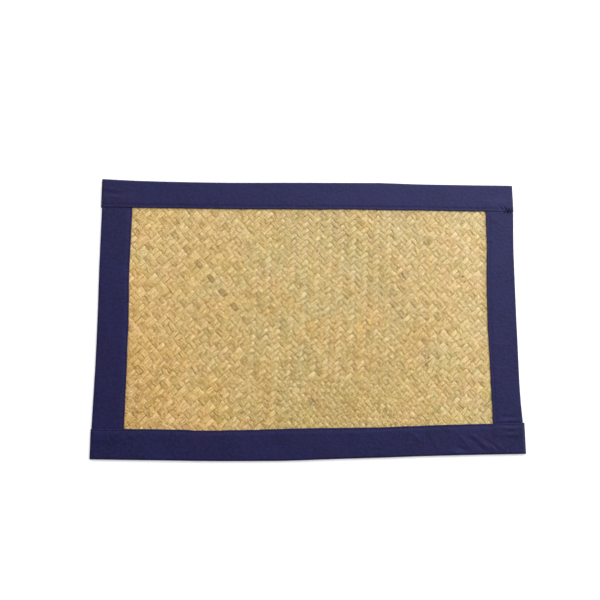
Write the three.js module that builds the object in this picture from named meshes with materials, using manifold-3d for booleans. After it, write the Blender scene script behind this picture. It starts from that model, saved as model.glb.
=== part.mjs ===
// Placemat: a flat panel of plaited sedge, bound along its four edges with folded strips of navy cloth.
// Millimetres, +Z up. The mat lies on Z = 0, with the origin under the middle of its box.
// +X runs along the long side and +Y towards the back edge.
// The cloth strips are folded round the panel's edge, so each is a U lying on its side.
// The front and back strips run the full length and cover the tucked ends of the side strips.

import * as THREE from 'three';
import { mergeVertices } from 'three/addons/utils/BufferGeometryUtils.js';
import Module from 'manifold-3d';

// Thicknesses, from the surface up: cloth, gap, panel, gap, cloth
const CLOTH = 1.0;
const PANEL_THICKNESS = 1.6;
const GAP = 0.3;
const PANEL_BOTTOM = CLOTH + GAP;
const CHANNEL_TOP = PANEL_BOTTOM + PANEL_THICKNESS + GAP;
const STRIP_TOP = CHANNEL_TOP + CLOTH;
const FOLD_RADIUS = STRIP_TOP / 2;
const FOLD_STEPS = 6;

// The panel stops short of the inside of the folds
const PANEL_INSET = 2.8;

// Corners: the side strips' top layers are tucked under the front and back strips, which rise over them
const TUCK = 9;
const TUCK_INSET = 3.5;
const TUCK_RISE = CLOTH + GAP;
const SLOPE = 6;
const SLOPE_MARGIN = 1;

// Where the front and back strips end, past the side strips
const BACK_ENDS = { left: -224.7, right: 226.2 };
const FRONT_ENDS = { left: -226.2, right: 225.6 };

// The spacing of the sections along a strip
const SECTION_STEP = 22;

// The hand-made outline. Along each edge: the place on the edge, the outer fold, and the inner hem
const BACK = [
  { at: -226, fold: 149.0, hem: 117.4 },
  { at: -190, fold: 147.6, hem: 117.3 },
  { at: -150, fold: 147.0, hem: 117.3 },
  { at: -90, fold: 146.9, hem: 117.2 },
  { at: -20, fold: 148.0, hem: 117.7 },
  { at: 40, fold: 148.7, hem: 118.3 },
  { at: 80, fold: 149.2, hem: 118.3 },
  { at: 112, fold: 148.4, hem: 118.3 },
  { at: 165, fold: 148.2, hem: 118.1 },
  { at: 226, fold: 148.3, hem: 117.9 },
];
const FRONT = [
  { at: -226, fold: -145.7, hem: -115.3 },
  { at: -180, fold: -146.9, hem: -115.9 },
  { at: -140, fold: -147.9, hem: -116.9 },
  { at: -108, fold: -148.7, hem: -118.0 },
  { at: -64, fold: -149.2, hem: -117.7 },
  { at: -25, fold: -149.3, hem: -116.8 },
  { at: 20, fold: -148.2, hem: -116.5 },
  { at: 75, fold: -147.2, hem: -116.1 },
  { at: 110, fold: -146.3, hem: -115.0 },
  { at: 165, fold: -145.5, hem: -113.9 },
  { at: 226, fold: -145.1, hem: -112.8 },
];
const LEFT = [
  { at: -116, fold: -225.5, hem: -192.6 },
  { at: -90, fold: -225.0, hem: -192.3 },
  { at: -50, fold: -224.1, hem: -191.9 },
  { at: 5, fold: -223.9, hem: -191.7 },
  { at: 45, fold: -224.2, hem: -192.6 },
  { at: 85, fold: -224.1, hem: -192.1 },
  { at: 118, fold: -223.9, hem: -191.6 },
];
const RIGHT = [
  { at: -116, fold: 224.5, hem: 191.7 },
  { at: -100, fold: 223.5, hem: 191.5 },
  { at: -78, fold: 222.8, hem: 191.6 },
  { at: -40, fold: 223.0, hem: 191.2 },
  { at: 0, fold: 223.2, hem: 191.0 },
  { at: 40, fold: 223.7, hem: 192.2 },
  { at: 79, fold: 224.3, hem: 194.1 },
  { at: 118, fold: 226.2, hem: 194.8 },
];

// Each edge: the axis that it runs along, which way is outward across it, and its table
const EDGES = {
  back: { along: 'x', out: 1, rows: BACK },
  front: { along: 'x', out: -1, rows: FRONT },
  left: { along: 'y', out: -1, rows: LEFT },
  right: { along: 'y', out: 1, rows: RIGHT },
};

const CLOTH_COLOUR = 0x2e2d58;
const PANEL_COLOUR = 0xcdb17a;

const wasm = await Module();
wasm.setup();

// A column of a table at any place: a smooth curve through the rows, held level past the ends
function smooth(rows, column, at) {
  const last = rows.length - 1;
  if (at <= rows[0].at) return rows[0][column];
  if (at >= rows[last].at) return rows[last][column];
  const i = rows.findIndex((row) => row.at > at) - 1;
  const slope = (k) => {
    const a = rows[Math.max(k - 1, 0)];
    const b = rows[Math.min(k + 1, last)];
    return (b[column] - a[column]) / (b.at - a.at);
  };
  const span = rows[i + 1].at - rows[i].at;
  const t = (at - rows[i].at) / span;
  const weight = t * t * (3 - 2 * t);
  const values = (1 - weight) * rows[i][column] + weight * rows[i + 1][column];
  const slopes = t * (1 - t) * span * ((1 - t) * slope(i) - t * slope(i + 1));
  return values + slopes;
}

// 1 up to the edge of the raised part, falling smoothly to 0 over the slope beyond it
function easeDown(distancePast) {
  const t = THREE.MathUtils.clamp(distancePast / SLOPE, 0, 1);
  return (1 + Math.cos(Math.PI * t)) / 2;
}

// A closed solid through rings of points, each ring a loop of the same number of Vector3.
// Each end is filled with a fan from the ring's first point, from which the whole ring can be seen.
function loft(rings) {
  const count = rings[0].length;
  const positions = rings.flat().flatMap((p) => [p.x, p.y, p.z]);
  const index = [];
  for (let r = 0; r + 1 < rings.length; r += 1) {
    for (let k = 0; k < count; k += 1) {
      const a = r * count + k;
      const b = r * count + ((k + 1) % count);
      index.push(a, b, b + count, a, b + count, a + count);
    }
  }
  const last = (rings.length - 1) * count;
  for (let k = 1; k + 1 < count; k += 1) {
    index.push(0, k + 1, k);
    index.push(last, last + k, last + k + 1);
  }
  const geometry = new THREE.BufferGeometry();
  geometry.setAttribute('position', new THREE.Float32BufferAttribute(positions, 3));
  geometry.setIndex(index);
  return facingOut(geometry);
}

// The same geometry with its faces pointing out
function facingOut(geometry) {
  const position = geometry.getAttribute('position');
  const index = Array.from(geometry.getIndex().array);
  const [a, b, c] = [new THREE.Vector3(), new THREE.Vector3(), new THREE.Vector3()];
  let volume = 0;
  for (let t = 0; t < index.length; t += 3) {
    [a, b, c].forEach((v, k) => v.fromBufferAttribute(position, index[t + k]));
    volume += a.dot(b.cross(c));
  }
  if (volume < 0) {
    for (let t = 0; t < index.length; t += 3) [index[t], index[t + 1]] = [index[t + 1], index[t]];
  }
  geometry.setIndex(index);
  return geometry;
}

// A closed geometry as a manifold solid, for joining and cutting
function toSolid(geometry) {
  return new wasm.Manifold(new wasm.Mesh({
    numProp: 3,
    vertProperties: new Float32Array(geometry.getAttribute('position').array),
    triVerts: new Uint32Array(geometry.getIndex().array),
  }));
}

function toGeometry(solid) {
  const mesh = solid.getMesh();
  const geometry = new THREE.BufferGeometry();
  geometry.setAttribute('position', new THREE.BufferAttribute(mesh.vertProperties, 3));
  geometry.setIndex(new THREE.BufferAttribute(mesh.triVerts, 1));
  return geometry;
}

// A point of a strip: its place along the edge, its depth in from the outer fold, and its height
function stripPoint(edge, at, depth, z) {
  const across = smooth(edge.rows, 'fold', at) - edge.out * depth;
  return edge.along === 'x' ? new THREE.Vector3(at, across, z) : new THREE.Vector3(across, at, z);
}

function stripWidth(edge, at) {
  return Math.abs(smooth(edge.rows, 'fold', at) - smooth(edge.rows, 'hem', at));
}

// Evenly spaced sections between two places, with the extra places that a form needs
function sectionPlaces(from, to, extra = []) {
  const steps = Math.ceil((to - from) / SECTION_STEP);
  const even = Array.from({ length: steps + 1 }, (_, k) => from + ((to - from) * k) / steps);
  const spaced = even.filter((at) => extra.every((place) => Math.abs(place - at) > SLOPE / 2));
  return [from, to, ...spaced, ...extra]
    .filter((at, k, all) => all.indexOf(at) === k)
    .sort((a, b) => a - b);
}

// The half circle of a fold, from its underside to its top, as depth and height
function foldArc(radius) {
  return Array.from({ length: FOLD_STEPS + 1 }, (_, k) => {
    const angle = -Math.PI / 2 + (Math.PI * k) / FOLD_STEPS;
    return { depth: FOLD_RADIUS - radius * Math.cos(angle), z: FOLD_RADIUS + radius * Math.sin(angle) };
  });
}

// One ring of a strip, with a flat underside, the fold, and a top that rises where told to.
// radius is the fold's, and reach is how far the ring runs in from the fold.
function stripRing(edge, at, radius, reach, rise) {
  const arc = foldArc(radius);
  const top = arc[arc.length - 1];
  const width = stripWidth(edge, at);
  const slopeStart = width - TUCK - SLOPE_MARGIN;
  const depths = [slopeStart - SLOPE, slopeStart - SLOPE / 2, slopeStart, reach];
  const underside = { depth: reach, z: arc[0].z };
  const raised = (depth) => TUCK_RISE * rise(at) * easeDown(slopeStart - depth);
  const tops = depths.map((depth) => ({ depth, z: top.z + raised(depth) }));
  return [underside, ...arc, ...tops].map((p) => stripPoint(edge, at, p.depth, p.z));
}

// A strip of cloth folded into a U: the outside, less the channel that the panel's edge lies in.
// A closed strip has its ends turned in, so that its channel stops one cloth short of them.
function foldedStrip(edge, from, to, closed, rise = () => 0, extra = []) {
  const places = sectionPlaces(from, to, extra);
  const outside = places.map((at) => stripRing(edge, at, FOLD_RADIUS, stripWidth(edge, at), rise));
  const inset = closed ? CLOTH : -CLOTH;
  const channelPlaces = sectionPlaces(from + inset, to - inset, extra);
  const channel = channelPlaces.map((at) => (
    stripRing(edge, at, FOLD_RADIUS - CLOTH, stripWidth(edge, at) + CLOTH, rise)
  ));
  return toSolid(loft(outside)).subtract(toSolid(loft(channel)));
}

// The front or back strip: full length, its top raised over the tucked ends of the side strips
function longStrip(edge, ends) {
  const hemAt = (side) => smooth(side.rows, 'hem', smooth(edge.rows, 'hem', 0));
  const leftSlope = hemAt(EDGES.left) + SLOPE_MARGIN;
  const rightSlope = hemAt(EDGES.right) - SLOPE_MARGIN;
  const rise = (at) => Math.max(easeDown(at - leftSlope), easeDown(rightSlope - at));
  const slopes = [0, SLOPE / 2, SLOPE].flatMap((past) => [leftSlope + past, rightSlope - past]);
  return foldedStrip(edge, ends.left, ends.right, true, rise, slopes);
}

// Where a side strip stops, just short of the hem of the front or back strip that covers it
function sideEnd(edge, longEdge) {
  const places = [smooth(edge.rows, 'fold', 0), smooth(edge.rows, 'hem', 0)];
  const hems = places.map((x) => Math.abs(smooth(longEdge.rows, 'hem', x)));
  return longEdge.out * (Math.min(...hems) - GAP);
}

// The top layer of a side strip, running on under the strip that covers it
function tuckedEnd(edge, end) {
  const outward = Math.sign(end);
  const ring = (at) => {
    const width = stripWidth(edge, end);
    const under = [TUCK_INSET, width].map((depth) => stripPoint(edge, end, depth, CHANNEL_TOP));
    const over = [width, TUCK_INSET].map((depth) => stripPoint(edge, end, depth, STRIP_TOP));
    return [...under, ...over].map((point) => point.setY(at));
  };
  return toSolid(loft([ring(end - outward * CLOTH), ring(end + outward * TUCK)]));
}

// A side strip: the U between the front and back strips, and a tucked end at each end of its top layer
function sideStrip(edge) {
  const from = sideEnd(edge, EDGES.front);
  const to = sideEnd(edge, EDGES.back);
  return foldedStrip(edge, from, to, false).add(tuckedEnd(edge, from)).add(tuckedEnd(edge, to));
}

// The panel: a flat sheet whose outline follows the folds, a little inside them
function panelGeometry() {
  const corner = (side, longEdge) => {
    const x = smooth(side.rows, 'fold', longEdge.out * Infinity) - side.out * PANEL_INSET;
    return new THREE.Vector2(x, smooth(longEdge.rows, 'fold', x) - longEdge.out * PANEL_INSET);
  };
  const between = (edge, start, end) => {
    const [a, b] = [start[edge.along], end[edge.along]];
    const places = sectionPlaces(Math.min(a, b), Math.max(a, b)).slice(1, -1);
    if (a > b) places.reverse();
    const points = places.map((at) => stripPoint(edge, at, PANEL_INSET, 0));
    return points.map((p) => new THREE.Vector2(p.x, p.y));
  };
  const { back, front, left, right } = EDGES;
  const corners = [corner(left, front), corner(right, front), corner(right, back), corner(left, back)];
  const outline = [front, right, back, left].flatMap((edge, k) => (
    [corners[k], ...between(edge, corners[k], corners[(k + 1) % 4])]
  ));
  const shape = new THREE.Shape(outline);
  const geometry = new THREE.ExtrudeGeometry(shape, { depth: PANEL_THICKNESS, bevelEnabled: false });
  geometry.deleteAttribute('normal');
  geometry.deleteAttribute('uv');
  geometry.translate(0, 0, PANEL_BOTTOM);
  return mergeVertices(geometry);
}

function addPiece(group, name, geometry, color, roughness) {
  const material = new THREE.MeshStandardMaterial({ color, roughness, metalness: 0 });
  const mesh = new THREE.Mesh(geometry, material);
  mesh.name = name;
  group.add(mesh);
}

const mat = new THREE.Group();
addPiece(mat, 'woven_panel', panelGeometry(), PANEL_COLOUR, 0.6);
addPiece(mat, 'binding_back', toGeometry(longStrip(EDGES.back, BACK_ENDS)), CLOTH_COLOUR, 0.85);
addPiece(mat, 'binding_front', toGeometry(longStrip(EDGES.front, FRONT_ENDS)), CLOTH_COLOUR, 0.85);
addPiece(mat, 'binding_left', toGeometry(sideStrip(EDGES.left)), CLOTH_COLOUR, 0.85);
addPiece(mat, 'binding_right', toGeometry(sideStrip(EDGES.right)), CLOTH_COLOUR, 0.85);

// The origin is under the middle of the mat's box
const box = new THREE.Box3().setFromObject(mat);
const middle = box.getCenter(new THREE.Vector3());
mat.position.set(-middle.x, -middle.y, 0);
mat.updateMatrixWorld(true);

export default mat;
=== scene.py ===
"""A placemat of plaited sedge bound in navy cloth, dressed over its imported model.

The plaiting is real: two families of flat sedge strands pass over and under each other. Lengths are in
millimetres until a mesh is made, because the strands and stitches are small.
"""
import math

import bpy
import numpy as np
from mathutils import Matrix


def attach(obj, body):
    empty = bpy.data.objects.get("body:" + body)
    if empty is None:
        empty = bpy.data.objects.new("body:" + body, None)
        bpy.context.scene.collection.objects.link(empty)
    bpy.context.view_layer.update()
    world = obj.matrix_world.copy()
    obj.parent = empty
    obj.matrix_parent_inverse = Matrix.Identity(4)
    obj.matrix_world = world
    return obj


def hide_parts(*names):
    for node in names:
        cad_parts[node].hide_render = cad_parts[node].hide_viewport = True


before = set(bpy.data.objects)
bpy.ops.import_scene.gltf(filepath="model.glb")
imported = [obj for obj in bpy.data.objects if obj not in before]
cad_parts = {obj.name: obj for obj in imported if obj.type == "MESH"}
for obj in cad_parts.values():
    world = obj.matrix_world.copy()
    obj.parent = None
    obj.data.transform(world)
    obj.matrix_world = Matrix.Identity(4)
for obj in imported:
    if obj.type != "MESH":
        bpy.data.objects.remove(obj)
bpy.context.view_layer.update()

MM = 0.001
SEED = 7
STRAND_SEED, STRIP_SEED, STITCH_SEED = 500, 40, 90  # keep their random draws apart

# The camera, fitted to the mat's corners in the photograph
VIEW_ANGLE = 50.0
AZIMUTH, ELEVATION, ROLL = -23.1, 80.95, 23.07
DISTANCE = 687.0
TARGET = (-12.1, 18.1, 2.1)
NEAREST_SEEN = 0.01  # in metres

# A window at the upper right, placed in metres, and a studio that is brighter on that side
BRIGHT_SIDE = (0.54, 0.84, 0.0)
STUDIO_LIGHT = (0.25, 2.10)  # its strength away from the bright side, and on it
STUDIO_TURN = (-0.27, 0.65)  # where between them it starts and stops growing
STUDIO_COLOUR = (0.98, 0.985, 1.0, 1.0)
WINDOW_PLACE = (0.60, 0.80, 1.25)
WINDOW_SIZE = (0.9, 0.9)
WINDOW_POWER = 8.0
WINDOW_COLOUR = (0.93, 0.96, 1.0)
FLOOR_REACH = 6000.0
FLOOR_DROP = 0.02  # keeps the floor's face apart from the mat's underside
FLOOR_GLOW = 0.25  # a lit white sweep washes out the mat's shadow

# The plaiting. Seen from the camera, falling strands run down to the right, and rising ones up.
# They are counted from the apex, a crossing to the right of the mat's middle and in front of it.
APEX = (35.7, -33.9)
FALLING_ANGLE, RISING_ANGLE = -50.2, 43.8
PITCH = 4.74
PITCH_DROP = 0.0065  # how much narrower each strand is than the one to its left
STRAND_FILL = 0.99  # the strand's share of the pitch
STRAND_THICKNESS = 0.44
WEAVE_RISE = 0.33  # how far a strand's middle stands above or below the panel's middle
FLOAT_ARCH = 0.10  # how far a float bows out, as a share of that rise
TURN = 0.45  # half the length of a turn over or under, in pitches
EDGE_DROOP = 0.02  # how far a strand's sides bend in
EDGE_ROUND = 0.32  # how much thinner a strand is at its sides
TOP_ACROSS = np.array([-1.0, -0.86, 0.0, 0.86, 1.0])  # points across a strand, in half widths
UNDER_ACROSS = np.array([0.65, -0.65])
RING_ACROSS = np.concatenate([TOP_ACROSS, UNDER_ACROSS])
RING_SIDE = np.concatenate([np.ones(len(TOP_ACROSS)), -np.ones(len(UNDER_ACROSS))])
STATIONS = 4  # sections per crossing
PANEL_INSET = 3.1  # from the binding's outer fold to the ends of the strands
MOST_STRANDS = 75  # more than lie on either side of the apex
FIRST_RIGHT = {"falling": 1, "rising": -9}  # the first strand of each family's right half
PANEL_REACH = 400.0  # more than the length of any strand
SEARCH_STEP = 0.25  # how closely a strand's ends are looked for
LEAST_STRAND = 2 * PITCH

# Where the weave changes, counted in crossings to the right of the apex and towards the back
PAIRS_LEFT, PAIRS_RIGHT = -32, 16  # further out than these, pairs cross pairs
SINGLES_FRONT = -9  # in front of this, strands cross one by one, between the next two
SINGLES_ACROSS = (-20, 26)

# The strands' uneven form. A waver is an amount and the length over which it comes and goes.
WIDTH_DIFFERENCE = 0.02  # from strand to strand, as a share of the width
MOST_WIDTH_DIFFERENCE = 1.5  # in times of that
WIDTH_WAVER = (0.018, 9.0)
SWAY_WAVER = (0.10, 22.0)
LEAN_WAVER = (0.045, 5.2)  # how far a side tips up, as a share of the half width
LIFT_WAVER = (0.045, 6.5)
THICKNESS_DIFFERENCE = 0.10

# The sedge's tone, from 0, darkest, to 1, palest, and its warmth, from 0, olive, to 1, orange
MEAN_TONE = 0.512
# Painted sheen: the rising strands are painted lighter and the falling ones darker, for how the light falls
# along their fibres
FAMILY_SHEEN_TONE = {"falling": -0.07, "rising": 0.07}
STRAND_TONE = 0.055  # how much one strand differs from the next
MOST_STRAND_TONE = 1.2  # in times of that
FLOAT_TONE = 0.058  # how much one float differs from the next
TONE_WAVER = (0.035, 45.0)
MEAN_WARMTH = 0.49
STRAND_WARMTH = 0.045
WARMTH_WAVER = (0.05, 60.0)
STRAND_VALUES = ("tone", "warmth", "height")  # stored for the strands' material
FIBRE_SHIFT = 7.3  # moves each strand's fibres apart from the next one's

# The strands that stand out, and by how much
ODD_STRAND = 0.10
DARK_STRANDS = {"falling": (-37, -19, -13, -7, 15), "rising": (-31, -24, 24)}
PALE_STRANDS = {"falling": (-16, -14, -5, 20, 24), "rising": (-43, -1, 15, 21)}

# One falling strand is stained, from one crossed strand to another, by an amount
STAINED_STRAND = -13
STAINED_LENGTHS = [
    (-41, -34, -0.10),
    (-34, -30, -0.20),
    (-30, -22, -0.30),
    (-22, -8, 0.12),
]

# The broad drift of tone and warmth over the panel
HALF_PANEL = (200.0, 120.0)
TONE_SLOPE = (0.020, 0.030)  # over each half size
TONE_WAVE = (0.012, (5.1, 2.2))
PALE_RIGHT, PALE_START, PALE_LENGTH = 0.075, 110.0, 70.0
WARM_LEFT, WARM_START = 0.24, -30.0
WARMTH_WAVE = (0.06, (3.7, -2.9))

# Soft patches on it: an amount, the middle, and the reach each way
EVERYWHERE = math.inf
TONE_PATCHES = [
    (-0.055, (50, 0), (84, EVERYWHERE)),
    (0.045, (-176, 36), (48, 66)),
    (-0.030, (4, 105.6), (52, 30)),
]
WARM_PATCHES = [
    (-0.10, (20, 0), (90, EVERYWHERE)),
    (0.32, (-170, -66), (80, 72)),
    (0.40, (-186, -42), (16, 48)),
]

# Small dark marks on the plaiting, painted shade that stands in for its holes and slits: place, angle, half
# length, half width, and strength
MARKS = [
    ((165.5, 44.5), 60, 1.8, 1.4, 1.0),
    ((125, -43.5), 0, 1.6, 1.4, 0.95),
    ((121.5, -41), 0, 1.4, 1.1, 0.75),
    ((123.5, -49.5), RISING_ANGLE, 6, 0.9, 0.75),
    ((101, 43.5), FALLING_ANGLE, 5, 1, 0.8),
    ((99.5, 47), 0, 1.4, 1.2, 0.75),
    ((7, 72), RISING_ANGLE, 2.4, 1.2, 0.8),
    ((-94.5, -82.5), FALLING_ANGLE, 3, 1.1, 0.6),
    ((-171.5, -94), FALLING_ANGLE, 2.4, 1.1, 0.7),
    ((161.5, -24), 0, 1.4, 1.1, 0.75),
    ((1.5, -88), FALLING_ANGLE, 5.5, 1, 0.85),
    ((-2.5, -90.5), FALLING_ANGLE, 4.5, 0.9, 0.55),
    ((1, -35), FALLING_ANGLE, 5, 1, 0.5),
]
MARK_CORE, MARK_RIM = 0.55, 1.15  # where a mark starts and stops fading, in half sizes

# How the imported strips' outlines are read from their points
LEVEL_TOP = 4.3  # the points of a strip away from its laps lie under this
FOLD_BAND = 0.06
FLOOR_BAND = 0.05
SAME_PLACE = 0.02
INNER_LAYER = 0.5  # a point this far within its neighbours' line is on the inner face

# The binding: two layers of cotton pressed together and folded round the panel's edge
CLOTH_THICKNESS = 0.55
BINDING_TOP = 3.95
TUCK_TOP = 3.68  # the top layer where it is tucked under the strip that covers it
TUCK_UNDER = 0.85
TUCK_CLOTH = 0.36
TUCK_REACH = 8.0
TUCK_INSET = 1.4
TUCK_START, TUCK_SLOPE = 0.6, 1.8  # where the dip starts before the covering hem, and its length
HUMP = 0.35  # how far the front and back strips rise over tucked ends
HUMP_REACH = 9.5  # how far in from the hem it stays at that height
HUMP_SLOPE = 7.0
HUMP_PAST = 4.0  # how far past the tucked strip's hem it reaches
END_PRESS = 1.0  # how far each of their layers is pressed in at the ends
END_PRESS_REACH = 3.0
TURNING = 8.0  # the cloth turned in along each side and end
FOLD_GIRTH = 2.4  # what the fold takes beyond twice the strip's width
LIP = 0.35  # how far the hem's round edge stands out, in thicknesses of cloth

# The cloth's unevenness, as wavers
STRIP_REACH = 260  # more than half the length of any strip
WAVER_STEP = 0.5  # how closely a waver is worked out along a strip
PUCKER = (0.055, 3.4)
PUCKER_REACH = 4.5  # to each side of the stitches
SWELL = (0.07, 26.0)
SWELL_SLANT = 0.4
SWELL_START = 8.0  # how far in from the fold it is at its full height
HEM_WAVER = (0.12, 12.0)

# The sections of a strip, and their points
ALONG_STEP = 1.4
CLOSE_STEP, CLOSE_REACH = 0.6, 4.0  # near the strip's ends and where it is tucked
LEAST_STEP = 0.35
TOP_POINTS = 29  # from the fold to the hem
FOLD_POINTS = 9
UNDER_POINTS = 6

# The creases by strip: place along it and depth in from the fold, angle, length, width and height
CREASES = {"front": [
    ((181, 10), 142, 8, 1.2, 0.48),
    ((176, 8), 140, 7, 1.3, -0.34),
    ((186, 13), 146, 6, 1.2, -0.36),
    ((190, 7), 134, 5, 1.1, 0.34),
    ((171, 19), 150, 5, 1.1, 0.4),
    ((168, 15), 152, 5, 1.3, -0.3),
    ((158, 17), 128, 5, 1.3, 0.32),
    ((151, 3), 168, 6, 1.3, 0.42),
    ((156, 7), 160, 6, 1.3, -0.34),
    ((163, 10), 124, 4, 1.1, 0.3),
    ((146, 22), 58, 4, 1.1, 0.26),
    ((138, 24), 118, 4, 1.2, -0.24),
    ((196, 9), 138, 6, 1.4, 0.26),
    ((128, 14), 118, 8, 1.9, 0.26),
    ((109, 20), 140, 7, 2, 0.22),
    ((92, 25), 72, 4, 1.3, 0.22),
    ((208, 27), 176, 8, 1.2, 0.28),
    ((210, 23.5), 4, 9, 1.2, -0.24),
    ((211, 20), 2, 8, 1.3, 0.2),
    ((-60, 24), 100, 8, 3, 0.12),
    ((20, 12), 84, 9, 4, 0.1),
], "back": [
    ((219, 27.5), 48, 3.2, 0.8, 0.55),
    ((216.6, 27), 48, 3.2, 0.8, -0.75),
    ((214.2, 27), 50, 3.2, 0.8, 0.5),
    ((211.8, 26.5), 52, 3.2, 0.8, -0.7),
    ((209.4, 27), 52, 3, 0.8, 0.34),
    ((-213, 12), 6, 9, 1.5, 0.22),
    ((-211, 16), 4, 9, 1.5, -0.22),
    ((-209, 20), 5, 8, 1.5, 0.16),
    ((60, 20), 95, 9, 3, 0.12),
    ((-120, 14), 86, 9, 4, 0.1),
], "left": [
    ((-95, 5), 0, 22, 1.5, 0.18),
    ((40, 20), 88, 9, 3.2, 0.12),
], "right": [
    ((-110, 12), 90, 10, 1.3, 0.26),
    ((-106.5, 16), 88, 9, 1.3, -0.22),
    ((-103, 12), 92, 8, 1.4, 0.16),
    ((108, 22), 60, 7, 2, 0.2),
    ((-30, 18), 85, 9, 3.2, 0.12),
]}

# The stitching along the hems, and the channel that it pulls into the cloth
STITCH_INSET = 2.2
STITCH_LENGTH = 2.5
STITCH_STEP = 3.3
STITCH_DIP = 0.30  # how far a stitch's ends go down into the cloth
STITCH_RINGS, STITCH_SIDES = 7, 6
STITCH_SHIFT = 0.12
STITCH_SLANT = 0.05
ROW_WAVER = (0.10, 14.0)
LONG_ROW_INSET, SIDE_ROW_INSET = 4.0, 2.5  # to the first stitch, from where a strip ends or is covered
# Each thread's name, twists, dark and pale colour, specular level, roughness and relief
SEAM_THREAD = ("thread", 900.0, (0.012, 0.011, 0.040), (0.030, 0.028, 0.090), 0.4, 0.5, (0.3, 5e-5))
COARSE_THREAD = ("matt_thread", 500.0, (0.002, 0.002, 0.006), (0.007, 0.007, 0.016), 0.08, 0.8, (0.4, 1e-4))
THREAD_RADIUS = 0.19
THREAD_TAPER = 0.45  # the share of its radius that a thread loses at a stitch's ends
THREAD_PROUD = 0.35  # how far its middle is above the cloth's top, in radii
THREAD_SUNK = 0.55  # how far its middle is inside the cloth's underside, in radii
UNDER_PRESS = 0.9  # how flat the underside's stitches are pressed
SEAM_DEPTH = 0.32
SEAM_WIDTH = 1.5

# The coarse zigzag at the right end of the back seam
FASTENING_START, FASTENING_STEP, FASTENING_LEGS = 216.8, 1.6, 5
FASTENING_DEPTH = 29.6
FASTENING_ANGLE = 62.0
FASTENING_LENGTH, FASTENING_GIRTH = 2.7, 2.2  # in times of a stitch of the seams


# Numbers and meshes


def unit(angle):
    return np.array([math.cos(math.radians(angle)), math.sin(math.radians(angle))])


def ease(value):
    """0 before 0, 1 after 1, and smooth between."""
    t = np.clip(value, 0, 1)
    return t * t * (3 - 2 * t)


def waver(rng, at, amount_and_length):
    """A smooth random curve along the given places, that comes and goes over the given length."""
    amount, wavelength = amount_and_length
    first = math.floor(np.min(at) / wavelength) - 2
    knots = rng.standard_normal(int(np.ptp(at) / wavelength) + 6)
    place = np.asarray(at) / wavelength - first
    low = np.floor(place).astype(int)
    t = ease(place - low)
    return amount * (knots[low] * (1 - t) + knots[low + 1] * t)


def new_object(name, data):
    obj = bpy.data.objects.new(name, data)
    bpy.context.scene.collection.objects.link(obj)
    return obj


def mesh_object(name, points_mm, faces, material):
    """A smooth mesh from points and arrays of faces, each with a column for each corner."""
    mesh = bpy.data.meshes.new(name)
    corners = np.concatenate([group.ravel() for group in faces]).astype(np.int32)
    counts = np.concatenate([np.full(len(group), group.shape[1]) for group in faces])
    starts = (np.cumsum(counts) - counts).astype(np.int32)
    mesh.vertices.add(len(points_mm))
    mesh.vertices.foreach_set("co", (np.asarray(points_mm, np.float32) * MM).ravel())
    mesh.loops.add(len(corners))
    mesh.loops.foreach_set("vertex_index", corners)
    mesh.polygons.add(len(counts))
    mesh.polygons.foreach_set("loop_start", starts)
    mesh.update(calc_edges=True)
    mesh.polygons.foreach_set("use_smooth", np.ones(len(counts), bool))
    mesh.materials.append(material)
    return new_object(name, mesh)


def tube_faces(sections, ring):
    """The faces of a closed tube through rings of points: its quads, and a cap at each end."""
    start = np.arange(sections - 1)[:, None] * ring
    here = np.arange(ring)
    after = (here + 1) % ring
    quads = np.stack([start + here, start + after, start + ring + after, start + ring + here], axis=-1)
    caps = np.array([here[::-1], (sections - 1) * ring + here])
    return quads.reshape(-1, 4), caps


def joined(parts):
    """The points, quads and caps of many tubes as one mesh's."""
    points, quads, caps = zip(*parts)
    starts = np.cumsum([0] + [len(group) for group in points])
    quads, caps = ([face + start for face, start in zip(faces, starts)] for faces in (quads, caps))
    return np.concatenate(points), np.concatenate(quads), np.concatenate(caps)


def point_attribute(obj, name, kind, values):
    """Stores a value or a vector for each point of a mesh, for its material to read."""
    attribute = obj.data.attributes.new(name, kind, "POINT")
    key = "vector" if kind == "FLOAT_VECTOR" else "value"
    attribute.data.foreach_set(key, np.asarray(values, np.float32).ravel())


def bake_layout(obj, layout, *details):
    """Says where each face corner lies in a texture baked from the material."""
    corners = np.empty(len(obj.data.loops), np.int32)
    obj.data.loops.foreach_get("vertex_index", corners)
    layer = obj.data.uv_layers.new(name="OFBake")
    layer.data.foreach_set("uv", layout(corners, *details).astype(np.float32).ravel())


# Materials


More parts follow.
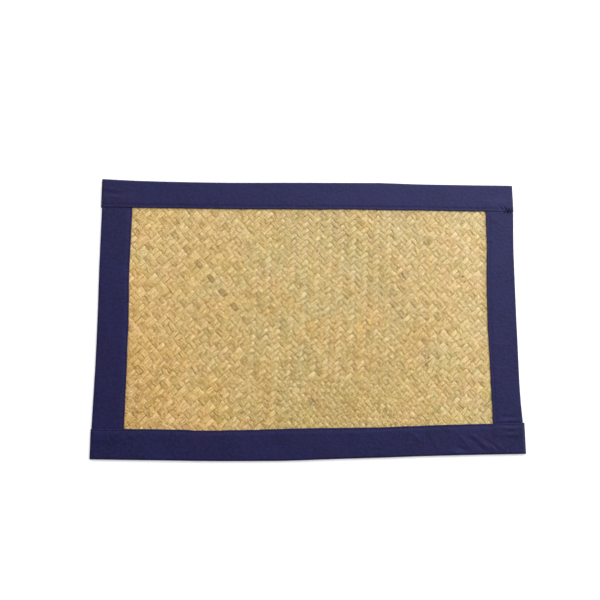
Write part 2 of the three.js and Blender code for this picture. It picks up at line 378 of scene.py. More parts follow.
class Nodes:
    """A short way to write the node tree of a material or a world."""

    def __init__(self, owner):
        owner.use_nodes = True
        self.owner = owner
        self.tree = owner.node_tree

    def put(self, node, inputs):
        for key, value in inputs.items():
            if isinstance(value, bpy.types.NodeSocket):
                self.tree.links.new(value, node.inputs[key])
            else:
                node.inputs[key].default_value = value

    def add(self, kind, inputs=None, **settings):
        node = self.tree.nodes.new(kind)
        for key, value in settings.items():
            setattr(node, key, value)
        self.put(node, inputs or {})
        return node

    def place(self):
        return self.add("ShaderNodeTexCoord").outputs["Object"]

    def math(self, operation, a, b=0.0, clamp=False):
        return self.add("ShaderNodeMath", {0: a, 1: b}, operation=operation, use_clamp=clamp).outputs[0]

    def noise(self, vector, scale, detail=2.0, roughness=0.5):
        """Noise with one scale, or with one along each axis."""
        if isinstance(scale, tuple):
            vector = self.add("ShaderNodeMapping", {"Vector": vector, "Scale": scale}).outputs["Vector"]
            scale = 1.0
        inputs = {"Vector": vector, "Scale": scale, "Detail": detail, "Roughness": roughness}
        return self.add("ShaderNodeTexNoise", inputs).outputs["Fac"]

    def wave(self, vector, scale, direction, distortion=0.0):
        inputs = {"Vector": vector, "Scale": scale, "Distortion": distortion}
        return self.add("ShaderNodeTexWave", inputs, bands_direction=direction).outputs["Fac"]

    def range(self, value, low, high, to_low, to_high, **settings):
        inputs = {"Value": value, "From Min": low, "From Max": high, "To Min": to_low, "To Max": to_high}
        return self.add("ShaderNodeMapRange", inputs, **settings).outputs["Result"]

    def ramp(self, fac, stops):
        node = self.add("ShaderNodeValToRGB", {"Fac": fac})
        elements = node.color_ramp.elements
        while len(elements) < len(stops):
            elements.new(0.5)
        for element, (place, colour) in zip(elements, stops):
            element.position = place
            element.color = (*colour, 1.0)
        return node.outputs["Color"]

    def mix(self, fac, a, b, blend="MIX"):
        inputs = {0: fac, 6: a, 7: (*b, 1.0) if isinstance(b, tuple) else b}
        return self.add("ShaderNodeMix", inputs, data_type="RGBA", blend_type=blend).outputs[2]

    def bump(self, height, strength, distance, normal=None):
        inputs = {"Height": height, "Strength": strength, "Distance": distance}
        if normal is not None:
            inputs["Normal"] = normal
        return self.add("ShaderNodeBump", inputs).outputs["Normal"]

    def finish(self, inputs, shader="Principled BSDF"):
        self.put(self.tree.nodes[shader], inputs)
        return self.owner


def painted_hole_shade(n, place):
    """How strongly each place on the panel is darkened by the small marks, soft spots and slits, painted
    shade standing in for holes and slits in the plaiting.
    """
    strongest = 0.0
    for centre, angle, length, width, strength in MARKS:
        inputs = {
            "Vector": place,
            "Location": (centre[0] * MM, centre[1] * MM, 0.0),
            "Rotation": (0.0, 0.0, math.radians(angle)),
            "Scale": (length * MM, width * MM, 1.0),
        }
        spot = n.add("ShaderNodeMapping", inputs, vector_type="TEXTURE").outputs["Vector"]
        far = n.add("ShaderNodeVectorMath", {0: spot}, operation="LENGTH").outputs["Value"]
        strongest = n.math("MAXIMUM", strongest, n.range(far, MARK_CORE, MARK_RIM, strength, 0.0))
    return strongest


def sedge_material():
    """Dry sedge: straw to olive strands with long fibres, blotches, and a satin skin."""
    n = Nodes(bpy.data.materials.new("sedge"))
    strand = n.add("ShaderNodeAttribute", attribute_name="strand").outputs["Vector"]
    values = [n.add("ShaderNodeAttribute", attribute_name=key).outputs["Fac"] for key in STRAND_VALUES]
    tone, warmth, height = values

    # The shade of straw, along and across each strand
    fibres = n.noise(strand, (0.06, 3.2, 1.0), 3.0, 0.6)
    blotches = n.noise(strand, (0.16, 0.30, 1.0))
    fleck_and_hole_noise = n.noise(strand, (0.55, 1.4, 1.7), 1.0)
    streaks = n.noise(strand, (0.30, 1.15, 1.0), 2.0, 0.6)
    shade = n.math("ADD", tone, n.range(fibres, 0.3, 0.7, -0.20, 0.20))
    shade = n.math("ADD", shade, n.range(streaks, 0.35, 0.65, -0.34, 0.34))
    shade = n.math("ADD", shade, n.range(blotches, 0.3, 0.7, -0.13, 0.13), clamp=True)
    straw = n.ramp(shade, [
        (0.0, (0.265, 0.165, 0.034)),
        (0.25, (0.415, 0.272, 0.074)),
        (0.5, (0.548, 0.374, 0.140)),
        (0.75, (0.662, 0.475, 0.216)),
        (1.0, (0.780, 0.598, 0.326)),
    ])

    # The hue, which drifts over the panel from olive to orange
    place = n.place()
    patches = n.noise(place, 24.0, 2.0, 0.55)
    stains = n.noise(place, (55.0, 40.0, 1.0), 1.0)
    hue = n.math("ADD", warmth, n.range(patches, 0.35, 0.65, -0.21, 0.21))
    hue = n.math("ADD", hue, n.range(stains, 0.35, 0.65, -0.13, 0.13), clamp=True)
    olive = n.mix(1.0, straw, (0.925, 1.015, 0.90), "MULTIPLY")
    orange = n.mix(1.0, straw, (1.075, 0.955, 0.78), "MULTIPLY")
    colour = n.mix(hue, olive, orange)
    ripening = n.noise(place, (26.0, 31.0, 1.0), 2.0, 0.55)
    green = n.mix(1.0, colour, (1.0, 1.0, 1.10), "MULTIPLY")
    ripe = n.mix(1.0, colour, (1.0, 1.0, 0.88), "MULTIPLY")
    colour = n.mix(n.range(ripening, 0.33, 0.67, 0.0, 1.0), green, ripe)

    # Brown flecks, which are partly painted shade, painted shade in the crevices between strands, and the
    # marks, which are painted shade too
    # The flecks are brown spots in the sedge, and also stand in for small holes between strands: there they
    # are painted shade
    fleck_and_hole_shade = n.range(fleck_and_hole_noise, 0.66, 0.73, 0.0, 0.75)
    colour = n.mix(fleck_and_hole_shade, colour, (0.27, 0.17, 0.07))
    # Painted shade: the lower a strand runs under its neighbours, the darker it is painted
    painted_crevice_shade = n.range(height, -1.0, 0.35, 0.15, 0.0)
    colour = n.mix(painted_crevice_shade, colour, (0.34, 0.22, 0.09))
    # Painted shade where the plaiting has holes and slits
    colour = n.mix(painted_hole_shade(n, place), colour, (0.125, 0.075, 0.020))

    ridges = n.noise(strand, (0.03, 4.5, 1.0))
    return n.finish({
        "Base Color": colour, "Specular IOR Level": 0.70,
        "Roughness": n.range(fibres, 0.3, 0.7, 0.52, 0.40),
        "Normal": n.bump(ridges, 0.5, 0.00012),
    })


def cloth_material():
    """Navy cotton: a fine plain weave with slubs, uneven in tone and faded towards purple in places."""
    n = Nodes(bpy.data.materials.new("binding_cloth"))
    place = n.place()
    warp = n.wave(place, 700.0, "X", 0.6)
    weft = n.wave(place, 700.0, "Y", 0.6)
    weave = n.math("MULTIPLY", warp, weft)
    slubs_x = n.noise(place, (60.0, 2600.0, 300.0))
    slubs_y = n.noise(place, (2600.0, 60.0, 300.0))
    slubs = n.math("ADD", slubs_x, slubs_y)
    mottle = n.noise(place, 300.0, 2.0, 0.65)
    fade = n.noise(place, 34.0, 3.0, 0.6)
    purple = n.noise(place, (21.0, 27.0, 19.0), 4.0, 0.7)
    slub_shade = n.range(slubs, 0.7, 1.3, 0.2, 0.8)
    shade = n.math("ADD", slub_shade, n.range(mottle, 0.35, 0.65, -0.5, 0.5), clamp=True)
    navy = n.ramp(shade, [
        (0.0, (0.0015, 0.0017, 0.0150)),
        (1.0, (0.0082, 0.0084, 0.0455)),
    ])
    colour = n.mix(n.range(fade, 0.38, 0.62, 0.0, 0.55), navy, (0.0085, 0.0082, 0.0490))
    colour = n.mix(n.range(purple, 0.40, 0.62, 0.0, 0.6), colour, (0.0095, 0.0048, 0.0315))
    return n.finish({
        "Base Color": colour, "Specular IOR Level": 0.5, "Specular Tint": (0.45, 0.45, 1.0, 1.0),
        "Roughness": n.range(slubs, 0.7, 1.3, 0.56, 0.48),
        "Normal": n.bump(weave, 0.35, 0.00008, n.bump(slubs, 0.3, 0.00010, n.bump(mottle, 0.9, 0.00034))),
    })


def thread_material(name, twists, dark, pale, specular, roughness, relief):
    """Twisted navy thread."""
    n = Nodes(bpy.data.materials.new(name))
    twist = n.wave(n.place(), twists, "DIAGONAL")
    return n.finish({
        "Base Color": n.ramp(twist, [(0.0, dark), (1.0, pale)]),
        "Specular IOR Level": specular, "Roughness": roughness, "Normal": n.bump(twist, *relief),
    })


def floor_material():
    """White paper, lit from behind."""
    n = Nodes(bpy.data.materials.new("paper_floor"))
    grain = n.noise(n.place(), 900.0)
    return n.finish({
        "Base Color": n.ramp(grain, [(0.0, (0.90, 0.90, 0.905)), (1.0, (0.93, 0.93, 0.935))]),
        "Emission Color": (1.0, 1.0, 1.0, 1.0), "Emission Strength": FLOOR_GLOW,
        "Specular IOR Level": 0.2, "Roughness": 0.8, "Normal": n.bump(grain, 0.05, 0.0001),
    })


# The mat's bound edges


class Edge:
    """One bound edge of the mat, read from its packed strip: where its outer fold and its hem lie."""

    def __init__(self, node, along, out):
        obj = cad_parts[node]
        flat = np.empty(len(obj.data.vertices) * 3)
        obj.data.vertices.foreach_get("co", flat)
        matrix = np.array(obj.matrix_world)
        points = (flat.reshape(-1, 3) @ matrix[:3, :3].T + matrix[:3, 3]) / MM
        place, across, height = points[:, along], points[:, 1 - along], points[:, 2]
        self.node, self.along_axis, self.out = node, along, out
        # Whether place along, depth in and height make right-handed axes
        self.right_handed = out * (1 if along == 0 else -1) < 0
        self.middle = height.min() + np.ptp(height[height < LEVEL_TOP]) / 2
        is_fold = np.abs(height - self.middle) < FOLD_BAND
        self.fold_places, self.fold_line = self.outline(place, across, is_fold, out)
        self.hem_places, self.hem_line = self.outline(place, across, height < FLOOR_BAND, -out)
        self.start, self.end = place.min(), place.max()

    @staticmethod
    def outline(place, across, wanted, sign):
        """The furthest wanted point across at each place along, without the cloth's inner face."""
        place, across = place[wanted], across[wanted]
        places = np.unique(place.round(2))
        line = np.array([sign * np.max(sign * across[np.abs(place - p) < SAME_PLACE]) for p in places])
        while True:
            before, after = places[1:-1] - places[:-2], places[2:] - places[1:-1]
            chord = (line[:-2] * after + line[2:] * before) / (places[2:] - places[:-2])
            inward = sign * (chord - line[1:-1])
            if inward.max() < INNER_LAYER:
                return places, line
            worst = int(np.argmax(inward)) + 1
            places, line = np.delete(places, worst), np.delete(line, worst)

    def fold(self, at):
        return np.interp(at, self.fold_places, self.fold_line)

    def hem(self, at):
        return np.interp(at, self.hem_places, self.hem_line)

    def width(self, at):
        return np.abs(self.fold(at) - self.hem(at))

    def place(self, at, depth, z):
        """Points at a place along the edge, a depth in from its fold, and a height."""
        axes = [None, None, z]
        axes[self.along_axis] = at
        axes[1 - self.along_axis] = self.fold(at) - self.out * depth
        return np.stack(np.broadcast_arrays(*axes), axis=-1)


EDGES = {
    "back": Edge("binding_back", 0, 1),
    "front": Edge("binding_front", 0, -1),
    "left": Edge("binding_left", 1, -1),
    "right": Edge("binding_right", 1, 1),
}
PANEL_MIDDLE = EDGES["front"].middle


# The plaited panel


def rightward_normal(angle):
    """The direction square to a strand in which the strands' numbers grow."""
    normal = unit(angle + 90)
    return normal if normal[0] > 0 else unit(angle - 90)


class Family:
    """The strands of one direction. Strand 0 passes through the apex, and numbers grow to the right."""

    def __init__(self, name, angle, crossed_angle):
        self.name = name
        self.direction = unit(angle)
        self.normal = rightward_normal(angle)
        self.crossed = rightward_normal(crossed_angle)
        # Whether a strand's direction, its normal and the height make right-handed axes
        self.right_handed = self.direction[0] * self.normal[1] > self.direction[1] * self.normal[0]

    @staticmethod
    def offset(number):
        return PITCH * number - PITCH_DROP * np.asarray(number, float) ** 2 / 2

    def along(self, number, crossed_number):
        """How far along a strand from its foot point a crossing lies."""
        slant = self.normal @ self.crossed
        return (self.offset(crossed_number) - self.offset(number) * slant) / (self.direction @ self.crossed)

    def is_over(self, number, crossed_numbers):
        """Whether a strand passes over each of the strands that it crosses."""
        if self.name == "falling":
            return falling_is_over(number, crossed_numbers)
        return ~falling_is_over(crossed_numbers, number)


def falling_is_over(falling, rising):
    """Where the falling strand shows: a twill, with pairs over pairs at the sides and singles in front."""
    rightwards, backwards = falling + rising, falling - rising
    twill = (rightwards + 1) % 4 < 2
    left_pairs = ((falling + 1) // 2 + rising // 2) % 2 == 0
    right_pairs = ((falling + 1) // 2 + (rising + 1) // 2) % 2 == 0
    singles = rightwards % 2 == 0
    over = np.where(rightwards > PAIRS_RIGHT, right_pairs, twill)
    over = np.where(rightwards < PAIRS_LEFT, left_pairs, over)
    between = (rightwards > SINGLES_ACROSS[0]) & (rightwards < SINGLES_ACROSS[1])
    return np.where(between & (backwards < SINGLES_FRONT), singles, over)


def inside_panel(points):
    """Which points lie inside the panel, whose edge is hidden in the folds of the binding."""
    x, y = points[:, 0], points[:, 1]
    beyond = [
        y - EDGES["back"].fold(x), EDGES["front"].fold(x) - y,
        EDGES["left"].fold(y) - x, x - EDGES["right"].fold(y),
    ]
    return np.max(beyond, axis=0) < -PANEL_INSET


def strand_span(family, foot):
    """Where along its line a strand starts and ends, or None where it misses the panel."""
    reach = np.arange(-PANEL_REACH, PANEL_REACH, SEARCH_STEP)
    inside = reach[inside_panel(foot + reach[:, None] * family.direction)]
    if len(inside) == 0 or inside[-1] - inside[0] < LEAST_STRAND:
        return None
    return inside[0], inside[-1]


def strand_stations(start, end, crossings):
    """Where a strand's sections lie along it: evenly spaced, and at its two ends."""
    step = np.diff(crossings).mean() / STATIONS
    first_crossing = crossings[crossings > start][0]
    along = np.arange(first_crossing - 2 * step, end, step)
    along = along[(along > start + step / 2) & (along < end - step / 2)]
    return np.concatenate([[start], along, [end]])


def strand_height(along, crossings, over):
    """How high a strand runs, from -1 under to 1 over, eased between its crossings."""
    k = np.clip(np.searchsorted(crossings, along) - 1, 0, len(crossings) - 2)
    pitch = crossings[k + 1] - crossings[k]
    past = (along - (crossings[k] + crossings[k + 1]) / 2) / pitch
    eased = np.sin(np.pi / 2 * np.clip(past / TURN, -1, 1))
    a, b = np.where(over[k], 1.0, -1.0), np.where(over[k + 1], 1.0, -1.0)
    arch = np.where(a == b, FLOAT_ARCH * a * np.cos(np.pi * past), 0.0)
    return (a + b) / 2 + (b - a) / 2 * eased + arch


def strand_form(family, number, foot, along, height, rng):
    """A strand's width, and its half width and ring of points at each section."""
    difference = np.clip(rng.standard_normal(), -MOST_WIDTH_DIFFERENCE, MOST_WIDTH_DIFFERENCE)
    width = (PITCH - PITCH_DROP * number) * STRAND_FILL * (1 + WIDTH_DIFFERENCE * difference)
    half = width / 2 * (1 + waver(rng, along, WIDTH_WAVER))
    sway = waver(rng, along, SWAY_WAVER)
    lean = waver(rng, along, LEAN_WAVER)
    lift = waver(rng, along, LIFT_WAVER)
    thickness = STRAND_THICKNESS * (1 + THICKNESS_DIFFERENCE * rng.standard_normal())
    middle = PANEL_MIDDLE + WEAVE_RISE * height + lift
    body = RING_SIDE * (1 - EDGE_ROUND * RING_ACROSS ** 4) * thickness / 2
    z = middle[:, None] + body + (half * lean)[:, None] * RING_ACROSS
    z -= (EDGE_DROOP * height)[:, None] * RING_ACROSS ** 2
    shift = half[:, None] * RING_ACROSS + sway[:, None]
    flat = foot + along[:, None, None] * family.direction + shift[:, :, None] * family.normal
    return width, half, np.concatenate([flat, z[:, :, None]], axis=2)


def strand_tone(family, number, along, numbers, crossings, rng):
    """A strand's tone at each section, from its own, its floats' and its stains."""
    float_tone = rng.standard_normal(len(crossings) + 2)[np.searchsorted(crossings, along)]
    own_tone = STRAND_TONE * np.clip(rng.standard_normal(), -MOST_STRAND_TONE, MOST_STRAND_TONE)
    if number in DARK_STRANDS[family.name]:
        own_tone = -ODD_STRAND
    if number in PALE_STRANDS[family.name]:
        own_tone = ODD_STRAND
    # The family's share of the tone is painted sheen
    tone = MEAN_TONE + FAMILY_SHEEN_TONE[family.name] + own_tone
    tone = tone + waver(rng, along, TONE_WAVER) + FLOAT_TONE * float_tone
    if family.name == "falling" and number == STAINED_STRAND:
        crossed = np.interp(along, crossings, numbers)
        for first, last, change in STAINED_LENGTHS:
            tone = tone + change * ((crossed > first) & (crossed < last))
    return tone


def one_strand(family, number, rng):
    """One strand's points, faces, material values and area, or None where it misses the panel."""
    foot = np.array(APEX) + family.normal * family.offset(number)
    span = strand_span(family, foot)
    if span is None:
        return None
    start, end = span
    numbers = np.arange(-MOST_STRANDS, MOST_STRANDS + 1)
    crossings = family.along(number, numbers)
    order = np.argsort(crossings)
    numbers, crossings = numbers[order], crossings[order]
    along = strand_stations(start, end, crossings)
    height = strand_height(along, crossings, family.is_over(number, numbers))
    width, half, points = strand_form(family, number, foot, along, height, rng)
    tone = strand_tone(family, number, along, numbers, crossings, rng)
    warmth = MEAN_WARMTH + STRAND_WARMTH * rng.standard_normal() + waver(rng, along, WARMTH_WAVER)
    ring = len(RING_ACROSS)
    quads, caps = tube_faces(len(along), ring)
    on_strand = [along[:, None], half[:, None] * RING_ACROSS * RING_SIDE, FIBRE_SHIFT * number]
    values = {
        "strand": np.stack(np.broadcast_arrays(*on_strand), axis=-1).reshape(-1, 3),
        "tone": np.repeat(tone, ring),
        "warmth": np.repeat(warmth, ring),
        "height": np.repeat(height, ring),
    }
    area = width * (end - start)
    return {"points": points.reshape(-1, 3), "quads": quads, "caps": caps, "values": values, "area": area}


def soft_patches(points, table):
    """The sum of the patches at each point, each strongest in its middle."""
    total = 0.0
    for amount, middle, reach in table:
        away = (points[:, :2] - middle) / reach
        total = total + amount * np.exp(-(away ** 2).sum(axis=1))
    return total


def regional_tint(points):
    """The panel's broad drift of colour: warm at the left, olive in the middle, pale at the right."""
    half = points[:, :2] / HALF_PANEL
    tone_wave, tone_turns = TONE_WAVE
    tone = half @ TONE_SLOPE + tone_wave * np.sin(half @ tone_turns) + soft_patches(points, TONE_PATCHES)
    tone = tone + PALE_RIGHT * ease((points[:, 0] - PALE_START) / PALE_LENGTH)
    warmth_wave, warmth_turns = WARMTH_WAVE
    warmth = warmth_wave * np.sin(half @ warmth_turns) + soft_patches(points, WARM_PATCHES)
    warmth = warmth + WARM_LEFT * np.clip((WARM_START - points[:, 0]) / HALF_PANEL[0], 0, 1)
    return tone, warmth


def panel_layout(corners, points, quads):
    """The panel from above in the texture's lower half, and from below in its upper half."""
    margin = 0.01
    is_top = np.arange(quads) % len(RING_ACROSS) < len(TOP_ACROSS) - 1
    low, high = points[:, :2].min(axis=0), points[:, :2].max(axis=0)
    places = margin + (points[corners, :2] - low) / (high - low) * (1 - 2 * margin, 0.5 - 2 * margin)
    places[:, 1] += 0.5
    places[:4 * quads, 1] -= 0.5 * np.repeat(is_top, 4)
    return places


def strand_piece(half, family, numbers, material):
    """Half a family's strands as one mesh, and their area."""
    rng = np.random.default_rng([SEED, len(family.name), numbers[0] + STRAND_SEED])
    strands = [one_strand(family, number, rng) for number in numbers]
    strands = [strand for strand in strands if strand]
    points, quads, caps = joined((strand["points"], strand["quads"], strand["caps"]) for strand in strands)
    values = {
        key: np.concatenate([strand["values"][key] for strand in strands]) for key in strands[0]["values"]
    }
    tone, warmth = regional_tint(points)
    values["tone"] = values["tone"] + tone
    values["warmth"] = np.clip(values["warmth"] + warmth, 0, 1)
    if family.right_handed:
        quads, caps = quads[:, ::-1], caps[:, ::-1]
    obj = mesh_object(f"sedge_{family.name}_{half}", points, [quads, caps], material)
    bake_layout(obj, panel_layout, points, len(quads))
    point_attribute(obj, "strand", "FLOAT_VECTOR", values["strand"])
    for key in STRAND_VALUES:
        point_attribute(obj, key, "FLOAT", values[key])
    return obj, sum(strand["area"] for strand in strands)


def plaited_panel(material):
    """The panel's four pieces, each half a family, with the area of their strands."""
    pieces = []
    families = Family("falling", FALLING_ANGLE, RISING_ANGLE), Family("rising", RISING_ANGLE, FALLING_ANGLE)
    for family in families:
        middle = FIRST_RIGHT[family.name]
        pieces.append(strand_piece("left", family, range(-MOST_STRANDS, middle), material))
        pieces.append(strand_piece("right", family, range(middle, MOST_STRANDS + 1), material))
    return pieces


# The cloth binding


def ridge(along, depth, centre, angle, length, width, height):
    """A soft crease: a long low bump at a place along a strip and a depth in it, turned by an angle."""
    c, s = unit(angle)
    u = (along - centre[0]) * c + (depth - centre[1]) * s
    v = -(along - centre[0]) * s + (depth - centre[1]) * c
    return height * np.exp(-(u / length) ** 2 - (v / width) ** 2)


def near_seam(from_hem, reach):
    """1 on the line of stitches, fading to 0 past the reach on both sides of it."""
    return np.exp(-((from_hem - STITCH_INSET) / reach) ** 2)


class Strip:
    """A binding strip's cloth as seen, with its creases, puckers and corner forms."""

    def __init__(self, name):
        self.name = name
        self.edge = EDGES[name]
        self.long = name in ("back", "front")
        rng = np.random.default_rng([SEED, STRIP_SEED + sorted(EDGES).index(name)])
        self.knots = np.arange(-STRIP_REACH, STRIP_REACH + 1, WAVER_STEP)
        self.pucker = waver(rng, self.knots, PUCKER)
        self.swell = waver(rng, self.knots, SWELL)
        self.hem_waver = waver(rng, self.knots, HEM_WAVER)
        self.seams = (self.edge.hem_places.min(), self.edge.hem_places.max())
        if self.long:
            self.start, self.end = self.edge.start, self.edge.end
        else:
            self.start, self.end = self.seams[0] - TUCK_REACH, self.seams[1] + TUCK_REACH

    def cut_size(self):
        """The width and length, in metres, that the strip was cut to: both faces, fold and turnings."""
        width = 2 * float(np.mean(self.edge.width(self.edge.hem_places))) + FOLD_GIRTH + 2 * TURNING
        turned_ends = 2 * TURNING if self.long else 0.0
        return width * MM, (float(self.end - self.start) + turned_ends) * MM

    def uneven(self, at, curve):
        return np.interp(at, self.knots, curve)

    def tucked(self, at):
        """1 where a side strip's end is tucked under, 0 where it shows."""
        if self.long:
            return np.zeros_like(at)
        before, after = self.seams[0] - at, at - self.seams[1]
        return ease((before + TUCK_START) / TUCK_SLOPE) + ease((after + TUCK_START) / TUCK_SLOPE)

    def pressed(self, at):
        """1 at the end of a front or back strip, 0 away from it."""
        if not self.long:
            return np.zeros_like(at)
        from_end = np.minimum(at - self.start, self.end - at)
        return 1 - ease(from_end / END_PRESS_REACH)

    def hump(self, at, depth):
        """The rise of a front or back strip over the tucked ends."""
        if not self.long:
            return np.zeros_like(at * depth)
        hem = self.edge.hem(0.0)
        left, right = EDGES["left"].hem(hem) + HUMP_PAST, EDGES["right"].hem(hem) - HUMP_PAST
        sideways = ease((left - at) / HUMP_SLOPE) + ease((at - right) / HUMP_SLOPE)
        inward = ease((depth - (self.edge.width(at) - HUMP_REACH - HUMP_SLOPE)) / HUMP_SLOPE)
        return HUMP * sideways * inward

    def top(self, at, depth):
        """The height of the cloth's top face."""
        from_hem = self.edge.width(at) - depth
        tuck, press = self.tucked(at), self.pressed(at)
        quiet = (1 - tuck) * (1 - press)
        z = BINDING_TOP + (TUCK_TOP - BINDING_TOP) * tuck - END_PRESS * press
        z = z + self.hump(at, depth) * (1 - press) - SEAM_DEPTH * near_seam(from_hem, SEAM_WIDTH) * quiet
        z = z + self.uneven(at, self.pucker) * near_seam(from_hem, PUCKER_REACH) * quiet
        z = z + self.uneven(at + SWELL_SLANT * depth, self.swell) * ease(depth / SWELL_START) * quiet
        for crease in CREASES[self.name]:
            z = z + ridge(at, depth, *crease) * quiet
        return z

    def under(self, at):
        """The height of the cloth's underside."""
        return TUCK_UNDER * self.tucked(at) + END_PRESS * self.pressed(at)

    def cloth(self, at):
        return CLOTH_THICKNESS + (TUCK_CLOTH - CLOTH_THICKNESS) * self.tucked(at)


def strip_places(strip):
    """Sections along a strip, closer together where its form turns."""
    turns = [strip.start, strip.end, *strip.seams]
    even = np.arange(strip.start, strip.end, ALONG_STEP)
    close = [np.arange(turn - CLOSE_REACH, turn + CLOSE_REACH, CLOSE_STEP) for turn in turns]
    places = np.unique(np.concatenate([even, *close, [strip.start, strip.end]]).round(2))
    places = places[(places >= strip.start) & (places <= strip.end)]
    places = places[np.concatenate([[True], np.diff(places) > LEAST_STEP])]
    places[-1] = strip.end
    return places


def strip_section(strip, at):
    """A ring of the folded cloth at each place: round the fold outside, and back inside."""
    at = at[:, None]
    width = strip.edge.width(at) + strip.uneven(at, strip.hem_waver)
    inset = TUCK_INSET * strip.tucked(at)
    cloth, low = strip.cloth(at), strip.under(at)
    flat_start = inset + PANEL_MIDDLE
    top_depth = flat_start + (width - flat_start) * np.linspace(0, 1, TOP_POINTS)
    top_z = strip.top(at, top_depth)
    under_depth = flat_start + (width - flat_start) * np.linspace(1, 0, UNDER_POINTS)
    under_z = np.repeat(low, UNDER_POINTS, axis=1)
    turn = np.radians(np.linspace(-90, 90, FOLD_POINTS + 2)[1:-1])
    radius = (top_z[:, :1] - low) / 2
    outer_depth = [under_depth, flat_start - PANEL_MIDDLE * np.cos(turn), top_depth]
    outer_z = [under_z, low + radius * (1 + np.sin(turn)), top_z]
    inner_depth = [under_depth, flat_start - (PANEL_MIDDLE - cloth) * np.cos(turn), top_depth]
    inner_z = [under_z + cloth, low + radius + (radius - cloth) * np.sin(turn), top_z - cloth]
    top_lip_depth, top_lip_z = top_depth[:, -1:] + LIP * cloth, top_z[:, -1:] - cloth / 2
    under_lip_depth, under_lip_z = under_depth[:, :1] + LIP * cloth, under_z[:, :1] + cloth / 2
    inside_depth, inside_z = (np.concatenate(rows, axis=1)[:, ::-1] for rows in (inner_depth, inner_z))
    depth = np.concatenate([*outer_depth, top_lip_depth, inside_depth, under_lip_depth], axis=1)
    z = np.concatenate([*outer_z, top_lip_z, inside_z, under_lip_z], axis=1)
    return depth, z


def strip_layout(corners, ring, at, quads):
    """The strip's length across the texture, its section up it, and its ends in the margins."""
    end_margin, side_margin = 0.02, 0.01
    section, around = corners // ring, corners % ring
    along = (at[section] - at[0]) / (at[-1] - at[0])
    # The last quad round each section closes the ring, so its far side lies at the top of the texture
    closing = np.repeat(np.arange(quads) % ring == ring - 1, 4)
    closing = np.pad(closing, (0, len(corners) - len(closing)))
    height = np.where(closing & (around == 0), ring, around)
    # An end's faces lie beside the strip's, the cloth's outside next to it and its inside further out
    is_end = np.arange(len(corners)) >= 4 * quads
    height = np.where(is_end, np.minimum(around, np.abs(ring - 2 - around)), height)
    into_margin = np.where(along > 0.5, 1, -1) * np.where(around < ring // 2, 0.2, 0.7) * end_margin
    along = end_margin + (1 - 2 * end_margin) * along + np.where(is_end, into_margin, 0)
    return np.stack([along, side_margin + (1 - 2 * side_margin) * height / ring], axis=1)


def binding_piece(name, material):
    """The folded cloth of one strip as a mesh, and the strip."""
    strip = Strip(name)
    at = strip_places(strip)
    depth, z = strip_section(strip, at)
    points = strip.edge.place(np.broadcast_to(at[:, None], depth.shape), depth, z)
    ring = points.shape[1]
    quads, _ = tube_faces(len(at), ring)
    # Each end is closed by a row of quads between the outside and the inside of the cloth
    half = (ring - 2) // 2
    outer = np.arange(half)
    inner = ring - 2 - outer
    cap = np.stack([outer[:-1], outer[1:], inner[1:], inner[:-1]], axis=-1)
    lips = np.array([[half - 1, half, half + 1], [0, ring - 2, ring - 1]])
    last = (len(at) - 1) * ring
    faces = [quads, cap[:, ::-1], lips[:, ::-1], cap + last, lips + last]
    if strip.edge.right_handed:
        faces = [group[:, ::-1] for group in faces]
    obj = mesh_object(f"cloth_{name}", points.reshape(-1, 3), faces, material)
    bake_layout(obj, strip_layout, ring, at, len(quads))
    return obj, strip


# The stitching


def stitch_template():
    """One stitch: a short thread whose ends go down into the cloth, as rings round its length."""
    along = np.linspace(-0.5, 0.5, STITCH_RINGS)
    turn = np.radians(np.arange(STITCH_SIDES) * 360 / STITCH_SIDES)
    radius = THREAD_RADIUS * (1 - THREAD_TAPER * (2 * along) ** 6)
    dip = STITCH_DIP * (2 * along) ** 4
    x = np.repeat(along * STITCH_LENGTH, STITCH_SIDES)
    y = (radius[:, None] * np.cos(turn)).ravel()
    z = (radius[:, None] * np.sin(turn) - dip[:, None]).ravel()
    return np.stack([x, y, z], axis=1)


def stitch_mesh(name, rows, flips, material):
    """Rows of stitches as one mesh, with a row's faces turned over where its points are mirrored."""
    quads, caps = tube_faces(STITCH_RINGS, STITCH_SIDES)
    stitches = []
    for row, flip in zip(rows, flips):
        turn = -1 if flip else 1
        stitches += [(stitch, quads[:, ::turn], caps[:, ::turn]) for stitch in row]
    points, *faces = joined(stitches)
    return mesh_object(name, points, faces, material)


def stitch_row(strip, template, on_top, rng):
    """The stitches along one hem, on the top or the underside."""
    edge = strip.edge
    if strip.long:
        start, end = strip.start + LONG_ROW_INSET, strip.end - LONG_ROW_INSET
    else:
        start, end = strip.seams[0] + SIDE_ROW_INSET, strip.seams[1] - SIDE_ROW_INSET
    at = np.arange(start, end, STITCH_STEP)
    at = at + STITCH_SHIFT * rng.standard_normal(len(at))
    depth = edge.width(at) - STITCH_INSET + waver(rng, at, ROW_WAVER)
    slant = STITCH_SLANT * rng.standard_normal(len(at))
    x, y, z = template.T
    local_along = at[:, None] + x - slant[:, None] * y
    local_depth = depth[:, None] + y + slant[:, None] * x
    if on_top:
        local_z = strip.top(at, depth)[:, None] + THREAD_PROUD * THREAD_RADIUS + z
    else:
        local_z = strip.under(at)[:, None] + THREAD_SUNK * THREAD_RADIUS - UNDER_PRESS * z
    return edge.place(local_along, local_depth, local_z)


def stitching(strips, material):
    """The rows of stitches along all the hems, on both faces."""
    template = stitch_template()
    rng = np.random.default_rng([SEED, STITCH_SEED])
    sides = [(strip, on_top) for strip in strips for on_top in (True, False)]
    rows = [stitch_row(strip, template, on_top, rng) for strip, on_top in sides]
    flips = [strip.edge.right_handed != on_top for strip, on_top in sides]
    return stitch_mesh("stitching", rows, flips, material)


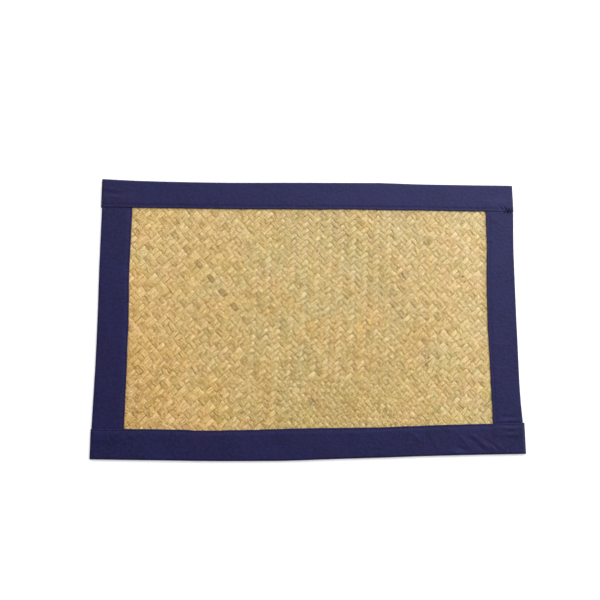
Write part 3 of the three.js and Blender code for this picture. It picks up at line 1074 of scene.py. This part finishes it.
def seam_fastening(strip, material):
    """The zigzag of coarse stitches over the end of the back seam."""
    x, y, z = (stitch_template() * (FASTENING_LENGTH, FASTENING_GIRTH, FASTENING_GIRTH)).T
    legs = []
    for leg in range(FASTENING_LEGS):
        c, s = unit(FASTENING_ANGLE if leg % 2 else -FASTENING_ANGLE)
        at = FASTENING_START + leg * FASTENING_STEP + x * c - y * s
        depth = FASTENING_DEPTH + x * s + y * c
        cloth_top = strip.top(at, np.minimum(depth, strip.edge.width(at) - STITCH_INSET))
        legs.append(strip.edge.place(at, depth, cloth_top + SEAM_DEPTH + z))
    return stitch_mesh("seam_fastening", [np.stack(legs)], [not strip.edge.right_handed], material)


# Camera, light and floor


def add_camera():
    (x, y), (level, rise), (c, s) = unit(AZIMUTH), unit(ELEVATION), unit(ROLL)
    back, right = np.array([y * level, -x * level, rise]), np.array([x, y, 0.0])
    up = np.cross(back, right)
    matrix = np.eye(4)
    matrix[:3, 0] = c * right + s * up
    matrix[:3, 1] = c * up - s * right
    matrix[:3, 2] = back
    matrix[:3, 3] = (np.array(TARGET) + back * DISTANCE) * MM
    data = bpy.data.cameras.new("camera")
    data.sensor_fit = "HORIZONTAL"
    data.angle = math.radians(VIEW_ANGLE)
    data.clip_start = NEAREST_SEEN
    camera = new_object("camera", data)
    camera.matrix_world = matrix.T.tolist()
    bpy.context.scene.camera = camera


def add_window():
    """An area light that faces the mat."""
    data = bpy.data.lights.new("window", "AREA")
    data.shape = "RECTANGLE"
    data.size, data.size_y = WINDOW_SIZE
    data.energy = WINDOW_POWER
    data.color = WINDOW_COLOUR
    light = new_object("window", data)
    light.location = WINDOW_PLACE
    direction = -np.array(WINDOW_PLACE) / np.linalg.norm(WINDOW_PLACE)
    light.rotation_euler = (0.0, -math.acos(-direction[2]), math.atan2(direction[1], direction[0]))


def add_world():
    """A white studio, brighter on the window's side, with a plain white backdrop."""
    world = bpy.data.worlds.new("studio")
    bpy.context.scene.world = world
    n = Nodes(world)
    way = n.add("ShaderNodeTexCoord").outputs["Generated"]
    side = n.add("ShaderNodeVectorMath", {0: way, 1: BRIGHT_SIDE}, operation="DOT_PRODUCT").outputs["Value"]
    light = n.range(side, *STUDIO_TURN, *STUDIO_LIGHT, interpolation_type="SMOOTHSTEP")
    seen = n.add("ShaderNodeLightPath").outputs["Is Camera Ray"]
    strength = n.add("ShaderNodeMix", {"Factor": seen, "A": light, "B": 1.0}).outputs["Result"]
    n.finish({"Color": STUDIO_COLOUR, "Strength": strength}, "Background")


def add_floor(material):
    points = FLOOR_REACH * np.array([[-1, -1, 0], [1, -1, 0], [1, 1, 0], [-1, 1, 0]])
    floor = mesh_object("floor", points, [np.array([[0, 1, 2, 3]])], material)
    floor.location.z = -FLOOR_DROP * MM


# The scene

add_camera()
add_world()
add_floor(floor_material())
add_window()
bpy.context.scene.view_settings.view_transform = "Standard"

sedge = sedge_material()
cloth = cloth_material()

panels = plaited_panel(sedge)
for piece, _ in panels:
    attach(piece, "root")
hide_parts("woven_panel")

strips = []
for edge_name in EDGES:
    piece, strip = binding_piece(edge_name, cloth)
    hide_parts(strip.edge.node)
    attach(piece, "root")
    strip.cut_size()
    strips.append(strip)

seams = stitching(strips, thread_material(*SEAM_THREAD))
fastening = seam_fastening(strips[0], thread_material(*COARSE_THREAD))
for threads in (seams, fastening):
    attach(threads, "root")
